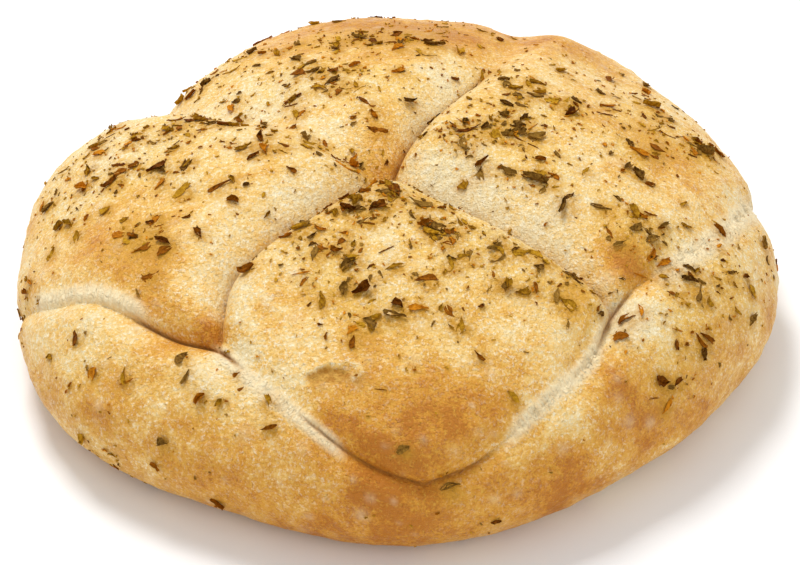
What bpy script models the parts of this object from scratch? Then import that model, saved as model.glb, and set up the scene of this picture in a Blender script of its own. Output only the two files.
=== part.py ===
"""Herb focaccia: a round, puffy hand-shaped loaf, slashed before baking into a front diamond, a left, a
right and a back lobe above a front crescent, with dried herb leaves baked onto its crust.

The loaf is one solid. Its crust is described in skin points: x and y in millimetres of the crust
unrolled from the crown, so a cut keeps its true width where the loaf turns down its side.
+X is the loaf's right, +Y its back and +Z up. It rests on the flat base at Z = 0.
"""

import math
import random

import bmesh
import bpy
import numpy as np
from mathutils import Matrix, Vector, noise

MM = 0.001

# Plain dome before it is cut
LOAF_RADIUS = 90 * MM
CROWN_HEIGHT = 54 * MM
WIDEST_LEVEL = 14 * MM
UNDERCUT = 12 * MM
# Order, size and phase in degrees of the waves that make the outline uneven
OUTLINE_WAVES = (
    (2, 2.96 * MM, 88),
    (3, 1.78 * MM, -128),
    (4, 1.35 * MM, -1),
    (5, 0.83 * MM, -130),
    (6, 1.58 * MM, -94),
    (7, 0.81 * MM, 45),
)

# Along each cut: skin x, y, depth, width to its left, width to its right, and wall shape
CRISP = 0.6
BLUNT = 0.8
SOFT = 1.5
CUTS = {
    "front_left": (
        (-112, -26, 2, 7, 6, BLUNT),
        (-98, -32, 2.4, 9, 6, BLUNT),
        (-86, -38.5, 2.8, 11, 6, CRISP),
        (-72, -43.5, 3.5, 12, 7, CRISP),
        (-62, -50.5, 5, 13, 8, CRISP),
        (-52, -57.5, 7, 13, 9, CRISP),
        (-42, -62, 7.5, 12, 10, CRISP),
        (-33, -71, 4, 11, 8, CRISP),
        (-25, -78.5, 2.8, 10, 7, CRISP),
        (-8, -93, 3.4, 9, 6, CRISP),
        (6, -98.5, 3.6, 9, 6, CRISP),
    ),
    "front_right": (
        (6, -98.5, 3.6, 9, 6, CRISP),
        (19, -91.5, 3.4, 9, 6, CRISP),
        (34, -75.5, 2.8, 10, 7, CRISP),
        (43.5, -65, 5, 11, 8, CRISP),
        (48.5, -54, 8, 9, 9, CRISP),
        (55, -42, 6, 13, 10, CRISP),
        (64, -34, 4.5, 14, 10, CRISP),
        (77, -19, 3.4, 13, 9, CRISP),
        (92, 4, 3.4, 10, 9, BLUNT),
        (110, 24, 2, 8, 8, BLUNT),
    ),
    "left_lobe": (
        (-42, -61.5, 7.5, 7, 7, CRISP),
        (-38, -43, 9, 17, 8, CRISP),
        (-22, -27.5, 11, 19, 8, CRISP),
        (-3, -13, 13, 17, 9, CRISP),
    ),
    "back_right": (
        (-3, -13, 13, 17, 9, CRISP),
        (4, 5, 12, 19, 8, CRISP),
        (13, 19, 9, 20, 8, CRISP),
        (21.5, 33, 5, 20, 11, BLUNT),
        (29, 54, 3, 18, 14, SOFT),
        (36, 100, 2, 14, 12, SOFT),
    ),
    "right_lobe": (
        (50, -50, 7, 7, 7, CRISP),
        (44, -42.5, 9, 8, 16, CRISP),
        (25, -30, 11, 8, 18, CRISP),
        (-3, -13, 13, 9, 18, CRISP),
    ),
    "back_left": (
        (-3, -13, 13, 11, 18, BLUNT),
        (-9, -6, 8.5, 14, 18, SOFT),
        (-20, 4, 4.5, 15, 18, SOFT),
        (-34, 13, 4.5, 14, 20, SOFT),
        (-47, 23, 6.5, 12, 24, SOFT),
        (-60, 32, 8, 12, 26, SOFT),
        (-78, 46, 8, 12, 26, SOFT),
        (-104, 60, 6, 12, 18, SOFT),
    ),
}
CURVE_STEPS = 12
CORNER_ROUNDING = 3.0
CREASE_RADIUS = 0.6

# Low bumps and hollows that handling left: skin x, y, reach and height
SWELLS = (
    (56, 50, 11, -3.2),
    (46, 63, 7, 1.8),
    (94, -52, 9, -1.6),
    (-38, 12, 7, -1.0),
    (84, 20, 10, 0.8),
    (-102, -8, 14, -1.8),
    (12, 60, 10, -0.8),
)

# Unevenness of the whole crust: wavelength and height
LUMPS = ((24, 0.9), (9, 0.4))

# Herb leaves: green, olive, brown or rust
HERB_COLOURS = {
    "green": (0.120, 0.080, 0.022),
    "olive": (0.270, 0.150, 0.015),
    "brown": (0.120, 0.042, 0.005),
    "rust": (0.340, 0.120, 0.012),
}
HERB_SHARES = (0.26, 0.36, 0.25, 0.13)
# The large leaves, lobe by lobe: skin x, y, length, width, heading in degrees and colour
LARGE_LEAVES = (
    # back lobe
    (-26, 18, 5.0, 2.8, 20, "brown"),
    (-16, 21, 4.4, 2.2, 35, "green"),
    (-21, 27, 4.0, 1.6, 45, "green"),
    (-8, 11, 4.0, 1.6, -45, "brown"),
    (-5, 3, 5.0, 2.2, 5, "brown"),
    (9, 43, 5.4, 2.0, 5, "green"),
    (1, 46, 3.8, 2.4, 0, "rust"),
    (-10, 48, 4.4, 1.8, -30, "green"),
    (-56, 46, 3.4, 1.5, 10, "brown"),
    # left lobe
    (-45, 9, 4.2, 1.8, 55, "green"),
    (-32, 7, 3.4, 1.9, 90, "green"),
    (-50, -8, 3.6, 2.3, 80, "green"),
    (-57, -6, 4.6, 3.2, 20, "brown"),
    (-50, -17, 4.8, 2.2, 40, "olive"),
    (-41, -18, 5.4, 1.2, 20, "brown"),
    (-69, -6, 4.6, 1.8, 40, "brown"),
    (-64, -27, 4.4, 2.6, -20, "rust"),
    (-56, -26, 3.4, 2.4, 70, "rust"),
    (-53, -34, 4.6, 1.9, -35, "brown"),
    (-56, -42, 4.0, 3.0, 10, "brown"),
    (-34, -44, 3.6, 2.5, 20, "brown"),
    (-22, -35, 3.4, 2.6, 10, "olive"),
    (-13, -11, 4.2, 1.4, -30, "rust"),
    # right lobe
    (21, 33, 4.8, 2.2, 110, "olive"),
    (29, 11, 3.4, 2.2, -30, "green"),
    (15, -7, 4.0, 2.7, 100, "green"),
    (19, -15, 3.4, 2.7, 90, "green"),
    (25, -15, 3.6, 2.3, -25, "green"),
    (31, -17, 6.0, 2.6, -20, "green"),
    (37, -24, 5.2, 1.9, 75, "green"),
    (32, -1, 4.4, 3.0, 20, "green"),
    (16, -1, 6.0, 1.4, 25, "brown"),
    (57, 1, 4.6, 2.6, -20, "rust"),
    (46, -23, 4.6, 1.9, -10, "green"),
    (58, -33, 3.8, 1.4, 70, "rust"),
    (50, -33, 3.2, 2.0, 30, "green"),
    # diamond
    (-2, -25, 4.8, 1.8, 5, "green"),
    (5, -28, 5.4, 2.1, -5, "green"),
    (-7, -34, 4.2, 2.1, 20, "green"),
    (8, -36, 4.6, 2.5, 5, "green"),
    (21, -40, 3.8, 1.9, 30, "green"),
    (27, -40, 4.2, 2.1, 10, "olive"),
    (-11, -46, 4.0, 2.5, 40, "green"),
    (-8, -53, 4.2, 3.0, 20, "brown"),
    (-1, -60, 4.8, 1.7, -12, "green"),
    (6, -51, 4.6, 2.6, 10, "brown"),
    (13, -62, 4.2, 2.0, 80, "olive"),
    (39, -44, 4.6, 2.2, -15, "green"),
    (46, -45, 3.6, 1.9, -30, "brown"),
    (-10, -66, 3.2, 1.8, 80, "brown"),
    (1, -90, 2.9, 1.8, 30, "green"),
    # crescent
    (12, -98, 4.2, 2.0, 20, "green"),
    (-29, -83, 3.6, 1.5, 5, "brown"),
    (-49, -64, 3.6, 2.6, 60, "green"),
    (-76, -52, 3.4, 1.5, 80, "brown"),
    (70, -40, 4.6, 2.3, 80, "green"),
    (51, -57, 3.4, 2.5, 10, "brown"),
    (88, -38, 3.4, 1.6, 80, "green"),
)
# Where the smaller flakes fell: skin x, y, reach and how many
HERB_PATCHES = (
    # back lobe
    (-14, 22, 6, 34),
    (-27, 25, 6, 22),
    (1, 22, 6, 16),
    (-15, 47, 7, 36),
    (2, 46, 6, 30),
    (-45, 46, 8, 28),
    (-38, 30, 7, 10),
    (-6, 9, 6, 10),
    (8, 66, 12, 22),
    (-34, 66, 14, 18),
    # left lobe
    (-57, 9, 6, 36),
    (-43, 8, 6, 28),
    (-76, 18, 7, 30),
    (-88, 0, 6, 18),
    (-24, -5, 6, 22),
    (-11, -8, 4, 14),
    (-66, -6, 6, 24),
    (-47, -12, 8, 18),
    (-80, -14, 5, 10),
    (-58, -31, 6, 20),
    (-34, -28, 7, 8),
    # right lobe
    (22, 2, 7, 44),
    (14, -4, 5, 22),
    (30, -12, 7, 32),
    (23, 28, 6, 20),
    (38, 12, 6, 26),
    (62, 18, 6, 32),
    (74, 13, 5, 24),
    (57, 2, 6, 16),
    (52, -25, 6, 18),
    (60, -31, 5, 14),
    (44, 40, 10, 18),
    (62, 40, 9, 18),
    # diamond
    (-3, -23, 5, 32),
    (-11, -30, 6, 28),
    (-21, -37, 5, 20),
    (6, -33, 6, 30),
    (14, -40, 5, 20),
    (26, -40, 5, 16),
    (-15, -48, 6, 22),
    (-8, -57, 6, 14),
    (10, -52, 8, 18),
    (32, -46, 5, 12),
    (40, -50, 6, 20),
    (4, -68, 12, 12),
    # crescent
    (-98, -30, 5, 12),
    (-72, -60, 8, 10),
    (-41, -74, 7, 10),
    (18, -100, 12, 8),
    (67, -47, 6, 18),
    (79, -32, 7, 24),
    (64, -62, 6, 10),
    (92, -14, 7, 8),
    (-62, -92, 13, 10),
    (-84, -83, 5, 12),
    (0, 92, 30, 18),
)
HERB_SEED = 7
SHORTEST_FLAKE = 0.8
LONGEST_FLAKE = 4.2
SMALLNESS = 2.4

# The flakes with a solid of their own shape, the largest first
SOLID_FLAKES = 110
SHORTEST_SOLID_FLAKE = 2.6
FLAKE_SPACING = 3.9
FLAKE_TO_CREASE = 3.0
FLAKE_SIDES = 6
FLAKE_THICKNESS = 0.8 * MM
FLAKE_SINK = 0.35 * MM
FLAKE_CURL = 0.16
FLAKE_TILT = 12

# Mesh of the loaf before its flat and round stretches are thinned out
SPHERE_CUTS = 100
WIDEST_POLAR = math.radians(116)
FOOT_POLAR = math.radians(134)
KEPT_TRIANGLES = 0.06
# Share by which the mesh is drawn together at a crease, and how far from it that reaches
GATHERING = 0.5
GATHERING_REACH = 3.0


def material(name, colour, roughness):
    made = bpy.data.materials.new(name)
    made.use_nodes = True
    shader = made.node_tree.nodes["Principled BSDF"]
    shader.inputs["Base Color"].default_value = (*colour, 1)
    shader.inputs["Roughness"].default_value = roughness
    shader.inputs["Metallic"].default_value = 0
    made.diffuse_color = (*colour, 1)
    return made


def outline_stretch(angle):
    """The loaf's plan radius at an angle, as a share of LOAF_RADIUS."""
    radius = np.full_like(angle, LOAF_RADIUS)
    for order, size, phase in OUTLINE_WAVES:
        radius = radius + size * np.cos(order * angle - math.radians(phase))
    return radius / LOAF_RADIUS


def half_section():
    """Skin distance, radius and height of the plain dome, from its crown round to the middle of its base."""
    dome = np.linspace(0, math.pi / 2, 180)
    curl = np.linspace(0, math.pi / 2, 40)[1:]
    side = LOAF_RADIUS - UNDERCUT * (1 - np.cos(curl))
    radius = np.concatenate([LOAF_RADIUS * np.sin(dome), side, [0]])
    top = WIDEST_LEVEL + (CROWN_HEIGHT - WIDEST_LEVEL) * np.cos(dome)
    height = np.concatenate([top, WIDEST_LEVEL * (1 - np.sin(curl)), [0]])
    steps = np.hypot(np.diff(radius), np.diff(height))
    return np.concatenate([[0], np.cumsum(steps)]), radius, height


SECTION_SKIN, SECTION_RADIUS, SECTION_HEIGHT = half_section()
SKIN_TO_WIDEST = SECTION_SKIN[SECTION_RADIUS.argmax()]
SKIN_TO_FOOT = SECTION_SKIN[-2]


def smooth_curve(points):
    """Closely spaced points of a smooth curve through the given ones, with every column carried along."""
    rows = np.array(points, float)
    rows = np.vstack([2 * rows[0] - rows[1], rows, 2 * rows[-1] - rows[-2]])
    curve = []
    for before, start, end, after in zip(rows, rows[1:], rows[2:], rows[3:]):
        for t in np.arange(CURVE_STEPS) / CURVE_STEPS:
            linear = (end - before) * t
            square = (2 * before - 5 * start + 4 * end - after) * t**2
            cube = (3 * start - before - 3 * end + after) * t**3
            curve.append(start + (linear + square + cube) / 2)
    curve.append(rows[-2])
    return np.array(curve)


def nearest_on(curve, x, y):
    """How far skin points are from a curve, whether they are to its left, and every column of the curve
    at its nearest point."""
    nearest = np.full(x.shape, np.inf)
    left = np.ones(x.shape, bool)
    columns = np.zeros(x.shape + (curve.shape[1],))
    for start, end in zip(curve, curve[1:]):
        dx, dy = end[:2] - start[:2]
        share = np.clip(((x - start[0]) * dx + (y - start[1]) * dy) / (dx**2 + dy**2), 0, 1)
        off_x = x - start[0] - share * dx
        off_y = y - start[1] - share * dy
        distance = np.hypot(off_x, off_y)
        closer = distance < nearest
        nearest[closer] = distance[closer]
        left[closer] = (dx * off_y >= dy * off_x)[closer]
        columns[closer] = (start + share[..., None] * (end - start))[closer]
    return nearest, left, columns


CUT_CURVES = [smooth_curve(points) for points in CUTS.values()]


def cut_depth(x, y):
    """Depth of the cuts at skin points, deepest in the crease and rounding up to each lobe."""
    total = np.zeros(x.shape)
    for curve in CUT_CURVES:
        distance, left, columns = nearest_on(curve, x, y)
        _, _, depth, left_width, right_width, wall = np.moveaxis(columns, -1, 0)
        rounded = np.hypot(distance, CREASE_RADIUS)
        nearness = 1 - np.clip(rounded / np.where(left, left_width, right_width), 0, 1)
        total = total + (depth * (1 - (1 - nearness**2) ** wall)) ** CORNER_ROUNDING
    return total ** (1 / CORNER_ROUNDING)


def swell_height(x, y):
    total = np.zeros(x.shape)
    for middle_x, middle_y, reach, height in SWELLS:
        squared = (x - middle_x) ** 2 + (y - middle_y) ** 2
        total = total + height * np.exp(-squared / (2 * reach**2))
    return total


def lump_height(points):
    """Smooth unevenness at points in space."""
    height = np.zeros(points.shape[:-1])
    for wavelength, size in LUMPS:
        scaled = points.reshape(-1, 3) / (wavelength * MM)
        values = [noise.noise(Vector(point)) for point in scaled.tolist()]
        height = height + size * np.array(values).reshape(height.shape)
    return height


def crust(x, y):
    """Places in space of skin points."""
    angle = np.arctan2(y, x)
    stretch = outline_stretch(angle)
    skin = np.hypot(x, y) * MM / stretch
    radius = np.interp(skin, SECTION_SKIN, SECTION_RADIUS) * stretch
    height = np.interp(skin, SECTION_SKIN, SECTION_HEIGHT)
    outward = -np.interp(skin, SECTION_SKIN, np.gradient(SECTION_HEIGHT, SECTION_SKIN))
    upward = np.interp(skin, SECTION_SKIN, np.gradient(SECTION_RADIUS, SECTION_SKIN))
    fade = np.interp(skin, [SKIN_TO_WIDEST, SKIN_TO_FOOT], [1, 0])
    dome = np.stack([radius * np.cos(angle), radius * np.sin(angle), height], -1)
    rise = swell_height(x, y) + lump_height(dome)
    inward = (cut_depth(x, y) - rise) * MM * fade / np.hypot(outward, upward)
    radius = radius - outward * inward
    height = height - upward * inward
    return np.stack([radius * np.cos(angle), radius * np.sin(angle), height], -1)


def loaf_middle():
    """Plan middle of the cut loaf's box."""
    angles = np.linspace(0, 2 * math.pi, 720, endpoint=False)
    distances = np.linspace(0.8, 1.05, 12) * SKIN_TO_WIDEST / MM
    angle, distance = np.meshgrid(angles, distances)
    distance = distance * outline_stretch(angle)
    ring = crust(distance * np.cos(angle), distance * np.sin(angle)).reshape(-1, 3)
    middle = (ring.min(axis=0) + ring.max(axis=0)) / 2
    return Vector((middle[0], middle[1], 0))


def gathered(x, y):
    """Skin points drawn in towards the nearest crease."""
    nearest = np.full(x.shape, np.inf)
    foot_x, foot_y = x.copy(), y.copy()
    for curve in CUT_CURVES:
        distance, _, columns = nearest_on(curve, x, y)
        closer = distance < nearest
        nearest[closer] = distance[closer]
        foot_x[closer] = columns[..., 0][closer]
        foot_y[closer] = columns[..., 1][closer]
    keep = 1 - GATHERING * np.exp(-((nearest / GATHERING_REACH) ** 2))
    return foot_x + (x - foot_x) * keep, foot_y + (y - foot_y) * keep


def make_loaf(collection, middle):
    """A cube blown up to a sphere, whose points are carried to the skin and so to the crust."""
    mesh = bpy.data.meshes.new("focaccia")
    cube = bmesh.new()
    bmesh.ops.create_cube(cube, size=2)
    bmesh.ops.subdivide_edges(cube, edges=cube.edges[:], cuts=SPHERE_CUTS, use_grid_fill=True)
    cube.to_mesh(mesh)
    cube.free()
    points = np.zeros(len(mesh.vertices) * 3)
    mesh.vertices.foreach_get("co", points)
    sphere = np.tan(points.reshape(-1, 3) * math.pi / 4)
    sphere /= np.linalg.norm(sphere, axis=1)[:, None]
    polar = np.arccos(np.clip(sphere[:, 2], -1, 1))
    angle = np.arctan2(sphere[:, 1], sphere[:, 0])
    polar_stops = [0, WIDEST_POLAR, FOOT_POLAR, math.pi]
    skin_stops = [0, SKIN_TO_WIDEST, SKIN_TO_FOOT, SECTION_SKIN[-1]]
    skin = np.interp(polar, polar_stops, skin_stops) * outline_stretch(angle) / MM
    places = crust(*gathered(skin * np.cos(angle), skin * np.sin(angle)))
    mesh.vertices.foreach_set("co", places.ravel())
    loaf = bpy.data.objects.new("focaccia", mesh)
    loaf.location = -middle
    collection.objects.link(loaf)
    mesh.materials.append(material("golden_crust", (0.72, 0.43, 0.14), 0.55))
    thin_out = loaf.modifiers.new("thin_out", "DECIMATE")
    thin_out.ratio = KEPT_TRIANGLES
    thin_out.use_collapse_triangulate = True
    return loaf


def herb_flakes():
    """Every flake as skin x, y, length, width, heading and colour: the large leaves, then the patches."""
    draw = random.Random(HERB_SEED)
    flakes = list(LARGE_LEAVES)
    for patch_x, patch_y, reach, count in HERB_PATCHES:
        for _ in range(count):
            x = draw.gauss(patch_x, reach)
            y = draw.gauss(patch_y, reach)
            length = SHORTEST_FLAKE + (LONGEST_FLAKE - SHORTEST_FLAKE) * draw.random() ** SMALLNESS
            width = length * draw.uniform(0.3, 0.8)
            heading = draw.uniform(0, 180)
            colour = draw.choices(list(HERB_COLOURS), HERB_SHARES)[0]
            flakes.append((x, y, length, width, heading, colour))
    return flakes


def crease_distance(x, y):
    """How far skin points are from the nearest cut's crease."""
    return np.min([nearest_on(curve, x, y)[0] for curve in CUT_CURVES], axis=0)


def solid_flakes():
    """The largest flakes, each clear of the larger ones and bridging no crease."""
    flakes = [flake for flake in herb_flakes() if flake[2] > SHORTEST_SOLID_FLAKE]
    x, y = np.array([flake[:2] for flake in flakes]).T
    open_crust = crease_distance(x, y) > FLAKE_TO_CREASE
    flakes = [flake for flake, is_open in zip(flakes, open_crust) if is_open]
    kept = []
    for flake in sorted(flakes, key=lambda flake: -flake[2]):
        clear = all(math.dist(flake[:2], other[:2]) > FLAKE_SPACING for other in kept)
        if clear and len(kept) < SOLID_FLAKES:
            kept.append(flake)
    return kept


def flake_mesh(name, length, width, colour):
    """A thin six-sided leaf, curled up at both ends."""
    leaf = bmesh.new()
    bmesh.ops.create_cone(
        leaf, cap_ends=True, cap_tris=True, segments=FLAKE_SIDES, radius1=1, radius2=1, depth=1
    )
    half_length = length * MM / 2
    for vertex in leaf.verts:
        lift = FLAKE_CURL * half_length * vertex.co.x**2
        vertex.co = (
            vertex.co.x * half_length,
            vertex.co.y * width * MM / 2,
            vertex.co.z * FLAKE_THICKNESS + lift,
        )
    bmesh.ops.triangulate(leaf, faces=leaf.faces[:])
    mesh = bpy.data.meshes.new(name)
    leaf.to_mesh(mesh)
    leaf.free()
    mesh.materials.append(colour)
    return mesh


def crust_frame(x, y, heading):
    """A place on the crust, with its own X along the heading and its own Z out of the crust."""
    turn = math.radians(heading)
    step = 1.0
    across = np.array([x, x + step * math.cos(turn), x - step * math.sin(turn)])
    along = np.array([y, y + step * math.sin(turn), y + step * math.cos(turn)])
    here, ahead, aside = (Vector(place) for place in crust(across, along))
    forward = (ahead - here).normalized()
    out = forward.cross(aside - here).normalized()
    frame = Matrix((forward, out.cross(forward), out)).transposed().to_4x4()
    frame.translation = here
    return frame


def make_flakes(collection, middle):
    draw = random.Random(HERB_SEED + 1)
    colours = {name: material("herb_" + name, colour, 0.7) for name, colour in HERB_COLOURS.items()}
    for number, (x, y, length, width, heading, colour) in enumerate(solid_flakes()):
        name = f"herb_flake_{number:03d}"
        flake = bpy.data.objects.new(name, flake_mesh(name, length, width, colours[colour]))
        tilt = Matrix.Rotation(math.radians(draw.uniform(-FLAKE_TILT, FLAKE_TILT)), 4, "X")
        rise = Matrix.Translation((0, 0, FLAKE_THICKNESS / 2 - FLAKE_SINK))
        flake.matrix_world = Matrix.Translation(-middle) @ crust_frame(x, y, heading) @ rise @ tilt
        collection.objects.link(flake)


def fuse(loaf, flakes):
    """Joins the flakes to the loaf and removes their own objects."""
    union = loaf.modifiers.new("fuse_flakes", "BOOLEAN")
    union.operation = "UNION"
    union.operand_type = "COLLECTION"
    union.collection = flakes
    bpy.context.view_layer.update()
    graph = bpy.context.evaluated_depsgraph_get()
    fused = bpy.data.meshes.new_from_object(loaf.evaluated_get(graph))
    loaf.modifiers.clear()
    loaf.data = fused
    for flake in list(flakes.objects):
        bpy.data.objects.remove(flake, do_unlink=True)
    bpy.data.collections.remove(flakes)


def main():
    for obj in list(bpy.data.objects):
        bpy.data.objects.remove(obj, do_unlink=True)
    bread = bpy.data.collections.new("herb_focaccia")
    flakes = bpy.data.collections.new("herb_flakes")
    bpy.context.scene.collection.children.link(bread)
    bpy.context.scene.collection.children.link(flakes)
    middle = loaf_middle()
    loaf = make_loaf(bread, middle)
    make_flakes(flakes, middle)
    fuse(loaf, flakes)


main()
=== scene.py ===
"""Looks of the herb focaccia: the bread's crust in full relief and colour, the baked-on dried herbs in
their own colours, a pale floor, soft light and a camera at the photo's angle.

The crust is described in skin points: x and y in millimetres of the crust unrolled from the crown.
"""

import math
import random

import bmesh
import bpy
import numpy as np
from mathutils import Matrix, Vector, noise


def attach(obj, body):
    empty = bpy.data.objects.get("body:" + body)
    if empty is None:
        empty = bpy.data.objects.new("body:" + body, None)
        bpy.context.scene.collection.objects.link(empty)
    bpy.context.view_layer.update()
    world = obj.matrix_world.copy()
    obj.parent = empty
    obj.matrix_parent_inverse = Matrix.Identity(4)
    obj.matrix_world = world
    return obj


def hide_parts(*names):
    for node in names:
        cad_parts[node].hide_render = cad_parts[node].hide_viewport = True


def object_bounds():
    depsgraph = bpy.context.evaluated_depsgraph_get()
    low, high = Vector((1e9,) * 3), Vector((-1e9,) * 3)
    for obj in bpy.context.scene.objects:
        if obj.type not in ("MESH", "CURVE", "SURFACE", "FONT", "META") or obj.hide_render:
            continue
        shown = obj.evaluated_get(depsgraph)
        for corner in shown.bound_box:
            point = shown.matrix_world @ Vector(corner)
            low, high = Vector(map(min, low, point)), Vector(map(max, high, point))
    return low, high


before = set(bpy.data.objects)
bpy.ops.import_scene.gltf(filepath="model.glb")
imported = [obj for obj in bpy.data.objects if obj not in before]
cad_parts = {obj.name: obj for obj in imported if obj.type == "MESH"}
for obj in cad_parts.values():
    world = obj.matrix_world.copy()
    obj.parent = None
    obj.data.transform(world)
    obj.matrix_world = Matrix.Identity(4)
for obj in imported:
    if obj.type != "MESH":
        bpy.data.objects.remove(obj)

CAD_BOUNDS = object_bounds()
MM = 0.001

# Plain dome before it is cut, as in the CAD
LOAF_RADIUS = 90 * MM
CROWN_HEIGHT = 54 * MM
WIDEST_LEVEL = 14 * MM
UNDERCUT = 12 * MM
DOME_STEPS = 180
CURL_STEPS = 40
# Order, size and phase in degrees of the waves that make the outline uneven
OUTLINE_WAVES = (
    (2, 2.96 * MM, 88),
    (3, 1.78 * MM, -128),
    (4, 1.35 * MM, -1),
    (5, 0.83 * MM, -130),
    (6, 1.58 * MM, -94),
    (7, 0.81 * MM, 45),
)

# Along each cut: skin x, y, depth, width to its left, width to its right, and wall shape
CRISP = 0.6
BLUNT = 0.8
SOFT = 1.5
CUTS = {
    "front_left": (
        (-112, -26, 2, 7, 6, BLUNT),
        (-98, -32, 2.4, 9, 6, BLUNT),
        (-86, -38.5, 2.8, 11, 6, CRISP),
        (-72, -43.5, 3.5, 12, 7, CRISP),
        (-62, -50.5, 5, 13, 8, CRISP),
        (-52, -57.5, 7, 13, 9, CRISP),
        (-42, -62, 7.5, 12, 10, CRISP),
        (-33, -71, 4, 11, 8, CRISP),
        (-25, -78.5, 2.8, 10, 7, CRISP),
        (-8, -93, 3.4, 9, 6, CRISP),
        (6, -98.5, 3.6, 9, 6, CRISP),
    ),
    "front_right": (
        (6, -98.5, 3.6, 9, 6, CRISP),
        (19, -91.5, 3.4, 9, 6, CRISP),
        (34, -75.5, 2.8, 10, 7, CRISP),
        (43.5, -65, 5, 11, 8, CRISP),
        (48.5, -54, 8, 9, 9, CRISP),
        (55, -42, 6, 13, 10, CRISP),
        (64, -34, 4.5, 14, 10, CRISP),
        (77, -19, 3.4, 13, 9, CRISP),
        (92, 4, 3.4, 10, 9, BLUNT),
        (110, 24, 2, 8, 8, BLUNT),
    ),
    "left_lobe": (
        (-42, -61.5, 7.5, 7, 7, CRISP),
        (-38, -43, 9, 17, 8, CRISP),
        (-22, -27.5, 11, 19, 8, CRISP),
        (-3, -13, 13, 17, 9, CRISP),
    ),
    "back_right": (
        (-3, -13, 13, 17, 9, CRISP),
        (4, 5, 12, 19, 8, CRISP),
        (13, 19, 9, 20, 8, CRISP),
        (21.5, 33, 5, 20, 11, BLUNT),
        (29, 54, 3, 18, 14, SOFT),
        (36, 100, 2, 14, 12, SOFT),
    ),
    "right_lobe": (
        (50, -50, 7, 7, 7, CRISP),
        (44, -42.5, 9, 8, 16, CRISP),
        (25, -30, 11, 8, 18, CRISP),
        (-3, -13, 13, 9, 18, CRISP),
    ),
    "back_left": (
        (-3, -13, 13, 11, 18, BLUNT),
        (-9, -6, 8.5, 14, 18, SOFT),
        (-20, 4, 4.5, 15, 18, SOFT),
        (-34, 13, 4.5, 14, 20, SOFT),
        (-47, 23, 6.5, 12, 24, SOFT),
        (-60, 32, 8, 12, 26, SOFT),
        (-78, 46, 8, 12, 26, SOFT),
        (-104, 60, 6, 12, 18, SOFT),
    ),
}
CURVE_STEPS = 12
CORNER_ROUNDING = 3.0
CREASE_RADIUS = 0.6

# Low bumps and hollows that handling left: skin x, y, reach and height
SWELLS = (
    (56, 50, 11, -3.2),
    (46, 63, 7, 1.8),
    (94, -52, 9, -1.6),
    (-38, 12, 7, -1.0),
    (84, 20, 10, 0.8),
    (-102, -8, 14, -1.8),
    (12, 60, 10, -0.8),
)

# Unevenness of the whole crust, as in the CAD, and what is finer than that: wavelength and height
LUMPS = ((24, 0.9), (9, 0.4))
FINE_LUMPS = ((4.2, 0.22), (1.9, 0.12))

# Gaping fissures at the bottom of the cuts, their depth also setting the painted shade laid into them: cut,
# skin x from and to, depth and half width
FISSURES = (
    ("front_left", -64, -34, 1.2, 0.5),
    ("front_left", -24, 10, 0.8, 0.4),
    ("front_right", 3, 24, 0.8, 0.4),
    ("front_right", 44, 57, 1.0, 0.5),
    ("left_lobe", -46, 2, 0.7, 0.6),
    ("right_lobe", -4, 56, 0.7, 0.6),
    ("back_right", -6, 24, 1.0, 0.6),
)
# Strips of stretched dough torn open in the front cuts:
# cut, skin x from and to, middle and half width of the strip, to the left of the cut
STRIPS = (
    ("front_left", -95, -55, 2.5, 2.7),
    ("front_left", -46, -10, -0.4, 2.5),
    ("front_right", 22, 51, 0.4, 2.8),
    ("front_right", 57, 100, -0.4, 4.2),
)
# How far from its ends a fissure or strip reaches its full size
TEAR_TAPER = 6
# Share of the cut's depth that a strip fills, and its strands: pitch, height and length across the cut
STRIP_FILL = 0.35
STRAND_PITCH = 1.5
STRAND_HEIGHT = 0.32
STRAND_LENGTH = 7
# Paleness of the cut dough: its reach as a share of the cut's width, how fast it falls off from the
# crease, and the depth of cut from which it is full
PALE_REACH = 1.15
PALE_FALL = 1.3
FULLY_PALE_DEPTH = 7

# Small bubbles in the crust: how many, how far out, smallest reach and what the largest have more,
# heights and paleness
BLISTERS = 560
BLISTER_SEED = 5
BLISTER_FIELD = 116
BLISTER_REACH = (0.4, 0.9)
BLISTER_HEIGHTS = (0.12, 0.34)
BLISTER_PALENESS = (0.2, 1)

# Torn blister in the diamond: skin x, y, half length and half width. Its depth, and how high and how
# pale its lip is
FLAP = (-15.4, -73.4, 5.0, 1.6)
FLAP_DEPTH = 0.4
LIP_HEIGHT = 0.9
LIP_PALENESS = 0.25
# Dimple pressed into the left lobe: skin x, y, reach along x and along y. How deep and how pale it is
DIMPLE = (-46, -20.5, 5.5, 3.2)
DIMPLE_DEPTH = 1.1
DIMPLE_PALENESS = 0.1
# Flaky fold low on the crescent's right: skin x, y, slope, reach along x and past its line. Its height
FOLD = (72, -78.05, 0.95, 7, 3.5)
FOLD_HEIGHT = 1.1
# Crumpled skin beside the middle: skin x, y and reach. How high and how brown its ridges are
CRUMPLES = ((10, -9, 4.5), (1, -19, 4.0))
CRUMPLE_HEIGHT = 0.6
CRUMPLE_BAKE = 0.22

# Skin distances between which the crust turns rougher and browner towards the rim, and how much more
# than elsewhere the fine lumps stand out on the cut dough and at the rim
ROUGH_RIM = (80, 112)
BROWN_RIM = (88, 116)
ROUGHER_DOUGH = 0.6
ROUGHER_RIM = 0.8

# Level of the baking, 0 for cream and 1 for dark brown, and what is added at the rim, taken off in the
# cuts, and reached under the loaf
PLAIN_BAKE = 0.36
RIM_BAKE = 0.16
CUT_PALENESS = 0.13
BASE_BAKE = 0.68
# Drift of the baking over the crust: wavelength, size and place in the noise
BAKE_WAVES = ((14, 0.20, 0.05), (5, 0.20, 0.09))
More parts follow.
